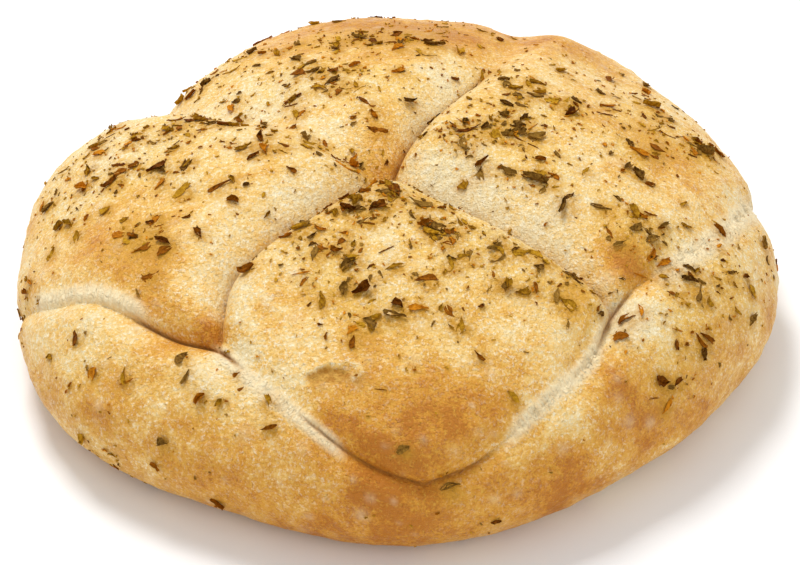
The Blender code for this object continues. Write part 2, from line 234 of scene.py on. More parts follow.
# Where it is browner or, below zero, paler, in places as painted shade and painted highlight: skin x, y,
# reach and how much
BROWNING_AND_SHADE = (
    # painted shade and bounced glow in the corners of the cuts, and pale lips beside them that are partly
    # painted highlight
    (-47, -56, 5, 0.46),
    (-42, -58, 3, 0.34),
    (-57, -49, 4, 0.20),
    (-37, -55, 2.5, -0.20),
    (-34, -47, 2.5, -0.16),
    (-5, -2, 6, 0.42),
    (-4, -8, 3, 0.30),
    (52, -36.5, 4.5, 0.90),
    (53, -51, 4, -0.45),
    (42, -52, 4, 0.22),
    # left lobe
    # darker low on the left lobe's front: partly browning, partly painted shade
    (-60, -36, 9, 0.58),
    (-70, -22, 4, 0.14),
    (-50, -24, 4, 0.12),
    (-78, -30, 9, 0.16),
    (-66, 2, 10, -0.18),
    (-58, 20, 14, -0.06),
    (-38, 10, 8, -0.10),
    (-70, 30, 9, -0.10),
    (-24, -16, 7, -0.06),
    # back lobe
    (-12, 50, 13, 0.26),
    (9, 51, 7, 0.46),
    (0, 66, 26, 0.42),
    (14, 34, 8, -0.16),
    (-28, 26, 10, -0.20),
    (5, 22, 8, -0.16),
    # right lobe
    (34, 62, 11, 0.26),
    (56, 62, 9, 0.22),
    (34, 24, 9, -0.08),
    (60, 12, 12, 0.28),
    (72, -2, 8, 0.26),
    (48, 38, 10, -0.06),
    (44, -30, 6, 0.16),
    (20, -22, 8, -0.24),
    (34, -31, 7, -0.18),
    (8, -16, 5, -0.38),
    # diamond
    (4, -86, 14, 0.42),
    (-20, -73, 7, -0.12),
    (26, -64, 7, 0.10),
    (-8, -66, 5, 0.10),
    (12, -68, 4, -0.12),
    (-6, -92, 8, 0.12),
    (22, -80, 8, 0.08),
    (4, -62, 12, 0.02),
    (0, -38, 9, -0.04),
    (-30, -58, 7, 0.10),
    # crescent
    (-2, -112, 22, 0.36),
    (-48, -92, 16, 0.26),
    (-44, -86, 5, 0.14),
    (-30, -100, 5, -0.10),
    (-22, -104, 6, 0.14),
    (-68, -78, 9, 0.16),
    (-98, -52, 12, 0.10),
    (-82, -62, 5, 0.16),
    (-74, -70, 4, 0.16),
    (-58, -78, 5, -0.10),
    (-70, -64, 10, 0.04),
    (38, -92, 14, 0.26),
    (44, -96, 5, 0.20),
    (24, -104, 5, -0.10),
    (58, -72, 8, 0.40),
    (50, -67, 4.5, 0.34),
    (42, -88, 4, 0.20),
    (78, -54, 13, 0.22),
    (86, -46, 4, 0.22),
    (97, -30, 4, 0.20),
    (80, -68, 4, 0.20),
    (64, -68, 4, 0.22),
    (62, -66, 3, -0.14),
    (-86, -42, 5, -0.16),
    (-72, -50, 6, -0.14),
    (-38, -68, 6, -0.24),
    (-46, -66, 4, -0.16),
    (-70, -46, 9, -0.10),
    (60, -50, 5, -0.14),
    (38, -77, 5, -0.18),
    (28, -86, 5, -0.12),
)

# Herb leaves: dark and light colour of each kind
HERB_COLOURS = {
    "green": ((0.068, 0.020, 0.000), (0.340, 0.180, 0.028)),
    "olive": ((0.180, 0.067, 0.000), (0.570, 0.300, 0.016)),
    "brown": ((0.078, 0.016, 0.000), (0.350, 0.110, 0.002)),
    "rust": ((0.270, 0.070, 0.000), (0.670, 0.260, 0.010)),
}
# Share of each kind among the smaller flakes
HERB_SHARES = (0.26, 0.36, 0.25, 0.13)
# The large leaves, lobe by lobe: skin x, y, length, width, heading in degrees and colour
LARGE_LEAVES = (
    # back lobe
    (-26, 18, 5.0, 2.8, 20, "brown"),
    (-16, 21, 4.4, 2.2, 35, "green"),
    (-21, 27, 4.0, 1.6, 45, "green"),
    (-8, 11, 4.0, 1.6, -45, "brown"),
    (-5, 3, 5.0, 2.2, 5, "brown"),
    (9, 43, 5.4, 2.0, 5, "green"),
    (1, 46, 3.8, 2.4, 0, "rust"),
    (-10, 48, 4.4, 1.8, -30, "green"),
    (-56, 46, 3.4, 1.5, 10, "brown"),
    # left lobe
    (-45, 9, 4.2, 1.8, 55, "green"),
    (-32, 7, 3.4, 1.9, 90, "green"),
    (-50, -8, 3.6, 2.3, 80, "green"),
    (-57, -6, 4.6, 3.2, 20, "brown"),
    (-50, -17, 4.8, 2.2, 40, "olive"),
    (-41, -18, 5.4, 1.2, 20, "brown"),
    (-69, -6, 4.6, 1.8, 40, "brown"),
    (-64, -27, 4.4, 2.6, -20, "rust"),
    (-56, -26, 3.4, 2.4, 70, "rust"),
    (-53, -34, 4.6, 1.9, -35, "brown"),
    (-56, -42, 4.0, 3.0, 10, "brown"),
    (-34, -44, 3.6, 2.5, 20, "brown"),
    (-22, -35, 3.4, 2.6, 10, "olive"),
    (-13, -11, 4.2, 1.4, -30, "rust"),
    # right lobe
    (21, 33, 4.8, 2.2, 110, "olive"),
    (29, 11, 3.4, 2.2, -30, "green"),
    (15, -7, 4.0, 2.7, 100, "green"),
    (19, -15, 3.4, 2.7, 90, "green"),
    (25, -15, 3.6, 2.3, -25, "green"),
    (31, -17, 6.0, 2.6, -20, "green"),
    (37, -24, 5.2, 1.9, 75, "green"),
    (32, -1, 4.4, 3.0, 20, "green"),
    (16, -1, 6.0, 1.4, 25, "brown"),
    (57, 1, 4.6, 2.6, -20, "rust"),
    (46, -23, 4.6, 1.9, -10, "green"),
    (58, -33, 3.8, 1.4, 70, "rust"),
    (50, -33, 3.2, 2.0, 30, "green"),
    # diamond
    (-2, -25, 4.8, 1.8, 5, "green"),
    (5, -28, 5.4, 2.1, -5, "green"),
    (-7, -34, 4.2, 2.1, 20, "green"),
    (8, -36, 4.6, 2.5, 5, "green"),
    (21, -40, 3.8, 1.9, 30, "green"),
    (27, -40, 4.2, 2.1, 10, "olive"),
    (-11, -46, 4.0, 2.5, 40, "green"),
    (-8, -53, 4.2, 3.0, 20, "brown"),
    (-1, -60, 4.8, 1.7, -12, "green"),
    (6, -51, 4.6, 2.6, 10, "brown"),
    (13, -62, 4.2, 2.0, 80, "olive"),
    (39, -44, 4.6, 2.2, -15, "green"),
    (46, -45, 3.6, 1.9, -30, "brown"),
    (-10, -66, 3.2, 1.8, 80, "brown"),
    (1, -90, 2.9, 1.8, 30, "green"),
    # crescent
    (12, -98, 4.2, 2.0, 20, "green"),
    (-29, -83, 3.6, 1.5, 5, "brown"),
    (-49, -64, 3.6, 2.6, 60, "green"),
    (-76, -52, 3.4, 1.5, 80, "brown"),
    (70, -40, 4.6, 2.3, 80, "green"),
    (51, -57, 3.4, 2.5, 10, "brown"),
    (88, -38, 3.4, 1.6, 80, "green"),
)
# Where the smaller flakes fell: skin x, y, reach and how many
HERB_PATCHES = (
    # back lobe
    (-14, 22, 6, 34),
    (-27, 25, 6, 22),
    (1, 22, 6, 16),
    (-15, 47, 7, 36),
    (2, 46, 6, 30),
    (-45, 46, 8, 28),
    (-38, 30, 7, 10),
    (-6, 9, 6, 10),
    (8, 66, 12, 22),
    (-34, 66, 14, 18),
    # left lobe
    (-57, 9, 6, 36),
    (-43, 8, 6, 28),
    (-76, 18, 7, 30),
    (-88, 0, 6, 18),
    (-24, -5, 6, 22),
    (-11, -8, 4, 14),
    (-66, -6, 6, 24),
    (-47, -12, 8, 18),
    (-80, -14, 5, 10),
    (-58, -31, 6, 20),
    (-34, -28, 7, 8),
    # right lobe
    (22, 2, 7, 44),
    (14, -4, 5, 22),
    (30, -12, 7, 32),
    (23, 28, 6, 20),
    (38, 12, 6, 26),
    (62, 18, 6, 32),
    (74, 13, 5, 24),
    (57, 2, 6, 16),
    (52, -25, 6, 18),
    (60, -31, 5, 14),
    (44, 40, 10, 18),
    (62, 40, 9, 18),
    # diamond
    (-3, -23, 5, 32),
    (-11, -30, 6, 28),
    (-21, -37, 5, 20),
    (6, -33, 6, 30),
    (14, -40, 5, 20),
    (26, -40, 5, 16),
    (-15, -48, 6, 22),
    (-8, -57, 6, 14),
    (10, -52, 8, 18),
    (32, -46, 5, 12),
    (40, -50, 6, 20),
    (4, -68, 12, 12),
    # crescent
    (-98, -30, 5, 12),
    (-72, -60, 8, 10),
    (-41, -74, 7, 10),
    (18, -100, 12, 8),
    (67, -47, 6, 18),
    (79, -32, 7, 24),
    (64, -62, 6, 10),
    (92, -14, 7, 8),
    (-62, -92, 13, 10),
    (-84, -83, 5, 12),
    (0, 92, 30, 18),
)
# The smaller flakes: seed, lengths, how much the short ones outnumber the long, and widths as shares
# of the lengths
HERB_SEED = 7
SHORTEST_FLAKE = 0.8
LONGEST_FLAKE = 4.2
SMALLNESS = 2.4
FLAKE_WIDTHS = (0.3, 0.8)
# Crumbs of leaf: how many for each flake of a patch, how much wider they are spread, their lengths, and
# their widths as shares of these
CRUMBS_PER_FLAKE = 1.2
CRUMB_SPREAD = 1.15
CRUMB_LENGTHS = (0.35, 1.0)
CRUMB_WIDTHS = (0.4, 0.9)
CRUMB_SHARES = (0.06, 0.50, 0.12, 0.32)
# Thin stems: how many in all, their lengths, width, headings and colours
STEMS = 52
STEM_LENGTHS = (2.0, 4.6)
STEM_WIDTH = 0.38
STEM_HEADINGS = (-50, 60)
STEM_COLOURS = ("olive", "brown", "brown", "rust")

# A leaf's mesh: its thickness, rows of points along it and points across it. The same for what is no
# longer than a crumb, and how much lighter that is
LEAF_THICKNESS = 0.16
LEAF_GRID = (7, 5)
CRUMB_GRID = (4, 3)
LONGEST_CRUMB = 1.2
CRUMB_LIGHTNESS = 0.35
# How far apart the crust is probed for a flake's lie
FRAME_STEP = 0.9

# Oil stains round a flake, set towards the side away from the key light and so partly a painted shadow
# of the flake: their reach as a share of the flake's length and beyond, their shift to the right and
# towards the front as shares of the length, their strength per millimetre of width, and the width from
# which that is full. Last, the strength of the oil all round the herbs
STAIN_AND_SHADOW_REACH = (0.34, 0.35)
STAIN_AND_SHADOW_SHIFT = (0.14, -0.20)
STAIN_AND_SHADOW_STRENGTH = 0.72
STAIN_AND_SHADOW_WIDTH = 1.8
OILINESS = 0.8

# Mesh of the crust: cuts in an edge of its cube, the sphere's polar angles at the widest level and the
# foot, and the share by which, and the distance from which, it is drawn together at a crease
SPHERE_CUTS = 127
WIDEST_POLAR = math.radians(119)
FOOT_POLAR = math.radians(143)
GATHERING = 0.66
GATHERING_REACH = 3.0


def outline_stretch(angle):
    """The loaf's plan radius at an angle, as a share of LOAF_RADIUS."""
    radius = np.full_like(angle, LOAF_RADIUS)
    for order, size, phase in OUTLINE_WAVES:
        radius = radius + size * np.cos(order * angle - math.radians(phase))
    return radius / LOAF_RADIUS


def half_section():
    """Skin distance, radius and height of the plain dome, from its crown to the middle of its base."""
    dome = np.linspace(0, math.pi / 2, DOME_STEPS)
    curl = np.linspace(0, math.pi / 2, CURL_STEPS)[1:]
    side = LOAF_RADIUS - UNDERCUT * (1 - np.cos(curl))
    radius = np.concatenate([LOAF_RADIUS * np.sin(dome), side, [0]])
    top = WIDEST_LEVEL + (CROWN_HEIGHT - WIDEST_LEVEL) * np.cos(dome)
    height = np.concatenate([top, WIDEST_LEVEL * (1 - np.sin(curl)), [0]])
    steps = np.hypot(np.diff(radius), np.diff(height))
    return np.concatenate([[0], np.cumsum(steps)]), radius, height


SECTION_SKIN, SECTION_RADIUS, SECTION_HEIGHT = half_section()
SKIN_TO_WIDEST = SECTION_SKIN[SECTION_RADIUS.argmax()]
SKIN_TO_FOOT = SECTION_SKIN[-2]
# Skin distances between which the crust passes into the evenly baked underside
UNDERSIDE = (SKIN_TO_WIDEST / MM + 8, SKIN_TO_FOOT / MM + 4)


def smooth_curve(points):
    """Closely spaced points of a smooth curve through the given ones, with every column carried along."""
    rows = np.array(points, float)
    rows = np.vstack([2 * rows[0] - rows[1], rows, 2 * rows[-1] - rows[-2]])
    curve = []
    for before, start, end, after in zip(rows, rows[1:], rows[2:], rows[3:]):
        for t in np.arange(CURVE_STEPS) / CURVE_STEPS:
            linear = (end - before) * t
            square = (2 * before - 5 * start + 4 * end - after) * t**2
            cube = (3 * start - before - 3 * end + after) * t**3
            curve.append(start + (linear + square + cube) / 2)
    curve.append(rows[-2])
    return np.array(curve)


def nearest_on(curve, x, y):
    """How far skin points are from a curve, whether they are to its left, every column of the curve at
    its nearest point, and how far along it that is."""
    nearest = np.full(x.shape, np.inf)
    left = np.ones(x.shape, bool)
    columns = np.zeros(x.shape + (curve.shape[1],))
    along = np.zeros(x.shape)
    walked = 0.0
    for start, end in zip(curve, curve[1:]):
        dx, dy = end[:2] - start[:2]
        length = math.hypot(dx, dy)
        share = np.clip(((x - start[0]) * dx + (y - start[1]) * dy) / length**2, 0, 1)
        off_x = x - start[0] - share * dx
        off_y = y - start[1] - share * dy
        distance = np.hypot(off_x, off_y)
        closer = distance < nearest
        nearest[closer] = distance[closer]
        left[closer] = (dx * off_y >= dy * off_x)[closer]
        columns[closer] = (start + share[..., None] * (end - start))[closer]
        along[closer] = (walked + share * length)[closer]
        walked += length
    return nearest, left, columns, along


CUT_CURVES = {name: smooth_curve(points) for name, points in CUTS.items()}


def smoothstep(low, high, value):
    share = np.clip((value - low) / (high - low), 0, 1)
    return share * share * (3 - 2 * share)


def spot(x, y, middle_x, middle_y, reach):
    """A soft round spot, 1 in its middle."""
    return np.exp(-((x - middle_x) ** 2 + (y - middle_y) ** 2) / (2 * reach**2))


def waves(points, wavelength):
    """Smooth noise from about -1 to 1 at points in metres."""
    scaled = points.reshape(-1, 3) / (wavelength * MM)
    values = [noise.noise(Vector(point)) for point in scaled.tolist()]
    return np.array(values).reshape(points.shape[:-1])


class Skin:
    """Skin points, their places on the plain dome, and what the cuts do there: depth, paleness of the
    cut dough, fissures and torn strips."""

    def __init__(self, x, y):
        self.x, self.y = x, y
        self.angle = np.arctan2(y, x)
        stretch = outline_stretch(self.angle)
        distance = np.hypot(x, y) * MM / stretch
        self.radius = np.interp(distance, SECTION_SKIN, SECTION_RADIUS) * stretch
        self.height = np.interp(distance, SECTION_SKIN, SECTION_HEIGHT)
        outward = -np.interp(distance, SECTION_SKIN, np.gradient(SECTION_HEIGHT, SECTION_SKIN))
        upward = np.interp(distance, SECTION_SKIN, np.gradient(SECTION_RADIUS, SECTION_SKIN))
        fade = np.interp(distance, [SKIN_TO_WIDEST, SKIN_TO_FOOT], [1, 0])
        self.outward = outward * fade / np.hypot(outward, upward)
        self.upward = upward * fade / np.hypot(outward, upward)
        self.dome = self.in_space(self.radius, self.height)
        self.pale = np.zeros(x.shape)
        self.fissure = np.zeros(x.shape)
        self.strip = np.zeros(x.shape)
        self.along = np.zeros(x.shape)
        self.across = np.zeros(x.shape)
        total = np.zeros(x.shape)
        for name, curve in CUT_CURVES.items():
            distance, left, columns, along = nearest_on(curve, x, y)
            _, _, depth, left_width, right_width, wall = np.moveaxis(columns, -1, 0)
            width = np.where(left, left_width, right_width)
            nearness = 1 - np.clip(np.hypot(distance, CREASE_RADIUS) / width, 0, 1)
            total = total + (depth * (1 - (1 - nearness**2) ** wall)) ** CORNER_ROUNDING
            wide = width / np.maximum(left_width, right_width)
            near = np.clip(PALE_REACH - distance / width, 0, 1) ** PALE_FALL
            self.pale = np.maximum(self.pale, near * wide**2 * np.clip(depth / FULLY_PALE_DEPTH, 0, 1))
            self.tear(name, distance, np.where(left, distance, -distance), along)
        self.depth = total ** (1 / CORNER_ROUNDING)

    def in_space(self, radius, height):
        return np.stack([radius * np.cos(self.angle), radius * np.sin(self.angle), height], -1)

    def stretch_of_cut(self, x_from, x_to):
        """1 between two skin x, falling off at both ends."""
        start = smoothstep(x_from, x_from + TEAR_TAPER, self.x)
        return start * smoothstep(x_to, x_to - TEAR_TAPER, self.x)

    def tear(self, name, distance, signed, along):
        """Adds a cut's fissures and torn strips."""
        for cut, x_from, x_to, depth, half in FISSURES:
            if cut == name:
                gap = self.stretch_of_cut(x_from, x_to) * np.exp(-((distance / half) ** 2))
                self.fissure = np.maximum(self.fissure, depth * gap)
        for cut, x_from, x_to, middle, half in STRIPS:
            if cut == name:
                inside = 1 - smoothstep(0.2, 1.25, abs(signed - middle) / half)
                strip = self.stretch_of_cut(x_from, x_to) * inside
                self.along = np.where(strip > 0, along, self.along)
                self.across = np.where(strip > 0, signed, self.across)
                self.strip = np.maximum(self.strip, strip)

    def lumps(self):
        """Height of the swells and lumps that the CAD has too."""
        total = sum(size * waves(self.dome, wavelength) for wavelength, size in LUMPS)
        for middle_x, middle_y, reach, height in SWELLS:
            total = total + height * spot(self.x, self.y, middle_x, middle_y, reach)
        return total

    def places(self, relief):
        """Places in space of the skin points, with relief standing out of the cut dome."""
        inward = (self.depth - relief) * MM
        height = np.maximum(self.height - self.upward * inward, 0)
        return self.in_space(self.radius - self.outward * inward, height)


def loaf_middle():
    """Plan middle of the cut loaf's box, as in the CAD."""
    angles = np.linspace(0, 2 * math.pi, 720, endpoint=False)
    distances = np.linspace(0.8, 1.05, 12) * SKIN_TO_WIDEST / MM
    angle, distance = np.meshgrid(angles, distances)
    distance = distance * outline_stretch(angle)
    skin = Skin(distance * np.cos(angle), distance * np.sin(angle))
    ring = skin.places(skin.lumps()).reshape(-1, 3)
    middle = (ring.min(axis=0) + ring.max(axis=0)) / 2
    return np.array((middle[0], middle[1], 0))


MIDDLE = loaf_middle()


def blisters(x, y):
    """Height and paleness of the small bubbles in the crust."""
    draw = random.Random(BLISTER_SEED)
    height = np.zeros(x.shape)
    pale = np.zeros(x.shape)
    for _ in range(BLISTERS):
        angle = draw.uniform(0, 2 * math.pi)
        distance = BLISTER_FIELD * math.sqrt(draw.random())
        reach = BLISTER_REACH[0] + BLISTER_REACH[1] * draw.random() ** 2
        bump = spot(x, y, distance * math.cos(angle), distance * math.sin(angle), reach)
        height = height + draw.uniform(*BLISTER_HEIGHTS) * bump
        pale = np.maximum(pale, draw.uniform(*BLISTER_PALENESS) * bump)
    return height, pale


def flap(skin):
    """How much of the crust is off at the torn blister, and its curled lip."""
    middle_x, middle_y, half_length, half_width = FLAP
    u = (skin.x - middle_x) / half_length
    v = (skin.y - middle_y) / half_width + 0.6 * waves(skin.dome + 0.7, 2.4)
    torn = smoothstep(1.15, 0.8, np.hypot(u, v))
    rim = np.exp(-(((np.hypot(u - 0.25, v - 0.35) - 1.15) / 0.22) ** 2))
    return torn, rim * smoothstep(-0.6, 0.8, u + v)


def dimple(skin):
    """The dimple, 1 at its bottom."""
    middle_x, middle_y, reach_x, reach_y = DIMPLE
    return np.exp(-(((skin.x - middle_x) / reach_x) ** 2 + ((skin.y - middle_y) / reach_y) ** 2))


def fold(skin):
    """The flaky fold, a step along its line that fades out on all sides."""
    middle_x, middle_y, slope, reach, reach_past = FOLD
    along = skin.x - middle_x
    past = (skin.y - middle_y) - slope * along
    return smoothstep(-0.4, 0.4, past) * np.exp(-((along / reach) ** 2 + (past / reach_past) ** 2))


def crumple(skin):
    """Ridges of the crumpled skin, from -1.4 to 1."""
    ridges = 1 - 2.4 * abs(waves(skin.dome + 0.3, 2.6))
    return ridges * sum(spot(skin.x, skin.y, *place) for place in CRUMPLES)


def herb_flakes():
    """Every flake as skin x, y, length, width, heading and colour: the large leaves, then the patches."""
    draw = random.Random(HERB_SEED)
    flakes = list(LARGE_LEAVES)
    for patch_x, patch_y, reach, count in HERB_PATCHES:
        for _ in range(count):
            x = draw.gauss(patch_x, reach)
            y = draw.gauss(patch_y, reach)
            length = SHORTEST_FLAKE + (LONGEST_FLAKE - SHORTEST_FLAKE) * draw.random() ** SMALLNESS
            width = length * draw.uniform(*FLAKE_WIDTHS)
            heading = draw.uniform(0, 180)
            colour = draw.choices(list(HERB_COLOURS), HERB_SHARES)[0]
            flakes.append((x, y, length, width, heading, colour))
    return flakes


def crumbs_and_stems():
    """The scraps too small for the CAD, in the same patches."""
    draw = random.Random(HERB_SEED + 3)
    scraps = []
    for patch_x, patch_y, reach, count in HERB_PATCHES:
        for _ in range(round(count * CRUMBS_PER_FLAKE)):
            length = draw.uniform(*CRUMB_LENGTHS)
            colour = draw.choices(list(HERB_COLOURS), CRUMB_SHARES)[0]
            x = draw.gauss(patch_x, CRUMB_SPREAD * reach)
            y = draw.gauss(patch_y, CRUMB_SPREAD * reach)
            width = length * draw.uniform(*CRUMB_WIDTHS)
            scraps.append((x, y, length, width, draw.uniform(0, 180), colour))
    counts = [patch[3] for patch in HERB_PATCHES]
    for patch_x, patch_y, reach, _ in draw.choices(HERB_PATCHES, counts, k=STEMS):
        x = draw.gauss(patch_x, reach)
        y = draw.gauss(patch_y, reach)
        colour = draw.choice(STEM_COLOURS)
        length = draw.uniform(*STEM_LENGTHS)
        scraps.append((x, y, length, STEM_WIDTH, draw.uniform(*STEM_HEADINGS), colour))
    return scraps


def stains_and_shadows(x, y, flakes):
    """How much the oil round the herbs has stained the crust, with a painted shadow where each flake's mark
    is shifted away from the light.
    """
    total = np.zeros(x.shape)
    for flake_x, flake_y, length, width, _, _ in flakes:
        reach = STAIN_AND_SHADOW_REACH[0] * length + STAIN_AND_SHADOW_REACH[1]
        near = (abs(x - flake_x) < 4 * reach) & (abs(y - flake_y) < 4 * reach)
        middle_x = flake_x + STAIN_AND_SHADOW_SHIFT[0] * length
        middle_y = flake_y + STAIN_AND_SHADOW_SHIFT[1] * length
        strength = STAIN_AND_SHADOW_STRENGTH * min(width, STAIN_AND_SHADOW_WIDTH)
        total[near] += strength * spot(x[near], y[near], middle_x, middle_y, reach)
    return np.clip(total, 0, 1)


def oiliness(x, y):
    """Broad yellow patches where the herb oil was brushed."""
    total = np.zeros(x.shape)
    for patch_x, patch_y, reach, count in HERB_PATCHES:
        total = total + count / reach**1.5 * spot(x, y, patch_x, patch_y, reach)
    return np.clip(OILINESS * total, 0, 1)


def strands(skin):
    """Ridges of stretched dough that cross the cuts, from -1 to 1."""
    pattern = [skin.along / STRAND_PITCH, skin.across / STRAND_LENGTH, 0 * skin.along]
    return 1 - 4 * abs(waves(np.stack(pattern, -1) * MM, 1))


def relief(skin):
    """Height of the crust over the cut dome."""
    torn, lip = flap(skin)
    marks = LIP_HEIGHT * lip - FLAP_DEPTH * torn - DIMPLE_DEPTH * dimple(skin)
    marks = marks + FOLD_HEIGHT * fold(skin) + CRUMPLE_HEIGHT * crumple(skin)
    bubbles, _ = blisters(skin.x, skin.y)
    fine = sum(size * waves(skin.dome + 0.1, wavelength) for wavelength, size in FINE_LUMPS)
    rim = smoothstep(*ROUGH_RIM, np.hypot(skin.x, skin.y))
    rough = 1 + ROUGHER_DOUGH * skin.pale + ROUGHER_RIM * rim
    dough = skin.strip * (STRIP_FILL * skin.depth + STRAND_HEIGHT * strands(skin))
    return skin.lumps() + bubbles + marks - skin.fissure + fine * rough + dough


def browning_and_shade(skin):
    """0 for cream, 1 for dark brown; at the corners of the cuts it also carries painted shade and painted
    highlights.
    """
    level = PLAIN_BAKE - CUT_PALENESS * skin.pale
    level = level + RIM_BAKE * smoothstep(*BROWN_RIM, np.hypot(skin.x, skin.y))
    for wavelength, size, place in BAKE_WAVES:
        level = level + size * waves(skin.dome + place, wavelength)
    for middle_x, middle_y, reach, amount in BROWNING_AND_SHADE:
        level = level + amount * spot(skin.x, skin.y, middle_x, middle_y, reach)
    level = level - LIP_PALENESS * flap(skin)[1] - DIMPLE_PALENESS * dimple(skin)
    return level + CRUMPLE_BAKE * crumple(skin)


def sphere_cube():
    """A cube of square faces and its points blown up to a unit sphere."""
    mesh = bpy.data.meshes.new("bread")
    cube = bmesh.new()
    bmesh.ops.create_cube(cube, size=2)
    bmesh.ops.subdivide_edges(cube, edges=cube.edges[:], cuts=SPHERE_CUTS, use_grid_fill=True)
    cube.to_mesh(mesh)
    cube.free()
    points = np.zeros(len(mesh.vertices) * 3)
    mesh.vertices.foreach_get("co", points)
    sphere = np.tan(points.reshape(-1, 3) * math.pi / 4)
    return mesh, sphere / np.linalg.norm(sphere, axis=1)[:, None]


def gathered(x, y):
    """Skin points drawn in towards the nearest crease, so that the mesh is fine there."""
    nearest = np.full(x.shape, np.inf)
    foot_x, foot_y = x.copy(), y.copy()
    for curve in CUT_CURVES.values():
        distance, _, columns, _ = nearest_on(curve, x, y)
        closer = distance < nearest
        nearest[closer] = distance[closer]
        foot_x[closer] = columns[..., 0][closer]
        foot_y[closer] = columns[..., 1][closer]
    keep = 1 - GATHERING * np.exp(-((nearest / GATHERING_REACH) ** 2))
    return foot_x + (x - foot_x) * keep, foot_y + (y - foot_y) * keep


def number_attribute(mesh, name, values):
    attribute = mesh.attributes.new(name, "FLOAT", "POINT")
    attribute.data.foreach_set("value", np.asarray(values, np.float32))


def mark_crust(mesh, skin, under, flakes):
    """What the crust's material reads at each point: baking with painted shade and highlights, painted
    shade in the fissures, tears, bubbles, stains with painted flake shadows, and oil.
    """
    marks = {
        "bake_and_shade": browning_and_shade(skin) * (1 - under) + BASE_BAKE * under,
        "crack_shade": skin.fissure,
        "strip": skin.strip,
        "along": skin.along,
        "across": skin.across,
        "bubble": blisters(skin.x, skin.y)[1],
        "stain_and_shadow": stains_and_shadows(skin.x, skin.y, flakes) * (1 - under) * (1 - 0.5 * skin.pale),
        "torn": flap(skin)[0],
        "oil": oiliness(skin.x, skin.y) * (1 - under) * (1 - 0.3 * skin.pale),
    }
    for name, values in marks.items():
        number_attribute(mesh, name, values)


def make_bread(flakes):
    mesh, sphere = sphere_cube()
    polar = np.arccos(np.clip(sphere[:, 2], -1, 1))
    angle = np.arctan2(sphere[:, 1], sphere[:, 0])
    polar_stops = [0, WIDEST_POLAR, FOOT_POLAR, math.pi]
    skin_stops = [0, SKIN_TO_WIDEST, SKIN_TO_FOOT, SECTION_SKIN[-1]]
    distance = np.interp(polar, polar_stops, skin_stops) * outline_stretch(angle) / MM
    skin = Skin(*gathered(distance * np.cos(angle), distance * np.sin(angle)))
    places = skin.places(relief(skin)) - MIDDLE
    mesh.vertices.foreach_set("co", places.ravel())
    mesh.update()
    mesh.shade_smooth()
    mark_crust(mesh, skin, smoothstep(*UNDERSIDE, distance), flakes)
    bread = bpy.data.objects.new("bread", mesh)
    bpy.context.scene.collection.objects.link(bread)
    return bread


def unit(vectors):
    return vectors / np.linalg.norm(vectors, axis=-1, keepdims=True)


def crust_frames(flakes):
    """Each flake's place on the crust, and its axes: along its heading, across it and out of the crust."""
    x, y = np.array([flake[:2] for flake in flakes]).T
    heading = np.radians([flake[4] for flake in flakes])
    step_x, step_y = FRAME_STEP * np.cos(heading), FRAME_STEP * np.sin(heading)
    skin = Skin(np.stack([x, x + step_x, x - step_y], -1), np.stack([y, y + step_y, y + step_x], -1))
    places = skin.places(relief(skin)) - MIDDLE
    here = places[:, 0]
    forward = unit(places[:, 1] - here)
    out = unit(np.cross(forward, places[:, 2] - here))
    return here, np.stack([forward, np.cross(out, forward), out], -1)


def leaf_faces(rows, columns):
    """Faces of a leaf's top and bottom sheets and of the rim between them."""
    count = rows * columns
    faces = []
    for row in range(rows - 1):
        for column in range(columns - 1):
            a = row * columns + column
            b, c, d = a + columns, a + columns + 1, a + 1
            faces.append((a, b, c, d))
            faces.append((a + count, d + count, c + count, b + count))
    rim = [row * columns for row in range(rows)]
    rim += [(rows - 1) * columns + column for column in range(1, columns)]
    rim += [row * columns + columns - 1 for row in reversed(range(rows - 1))]
    rim += list(reversed(range(1, columns - 1)))
    for near, far in zip(rim, rim[1:] + rim[:1]):
        faces.append((near, near + count, far + count, far))
    return faces


def leaf_shape(length, width, draw):
    """Points of a crumpled, curled leaf scrap in millimetres, its top first, its faces, and the shade of
    each point, lighter along the rib."""
    is_crumb = length <= LONGEST_CRUMB
    rows, columns = CRUMB_GRID if is_crumb else LEAF_GRID
    along, across = np.meshgrid(np.linspace(-1, 1, rows), np.linspace(-1, 1, columns), indexing="ij")

    def ragged(amount):
        return amount * np.array([draw.uniform(-1, 1) for _ in range(along.size)]).reshape(along.shape)

    taper = (1 - abs(along + draw.uniform(-0.5, 0.5)) ** 1.7 * draw.uniform(0.5, 1)).clip(0.10, 1)
    x = along * length / 2 * (1 + ragged(0.14))
    y = across * width / 2 * draw.uniform(0.6, 1) * taper * (1 + ragged(0.28))
    swing = draw.uniform(-0.3, 0.3) * width * (1 - along**2)
    bend = draw.uniform(-0.12, 0.20) * length / 2 * along**2
    roll = draw.uniform(-0.3, 0.6) * width / 2 * across**2
    crease = draw.uniform(-0.2, 0.5) * width / 2 * abs(across)
    lean = draw.gauss(0, 0.12) * y + draw.gauss(0, 0.10) * x
    height = bend + roll + crease + lean + ragged(0.06) * min(length, 2) + draw.uniform(0.02, 0.24)
    top = np.stack([x, y + swing, height], -1).reshape(-1, 3)
    shade = draw.random() + CRUMB_LIGHTNESS * is_crumb + 0.16 * (1 - abs(across) ** 1.5) + ragged(0.14)
    bottom = top - (0, 0, LEAF_THICKNESS)
    return np.vstack([top, bottom]), leaf_faces(rows, columns), np.tile(shade.ravel(), 2)


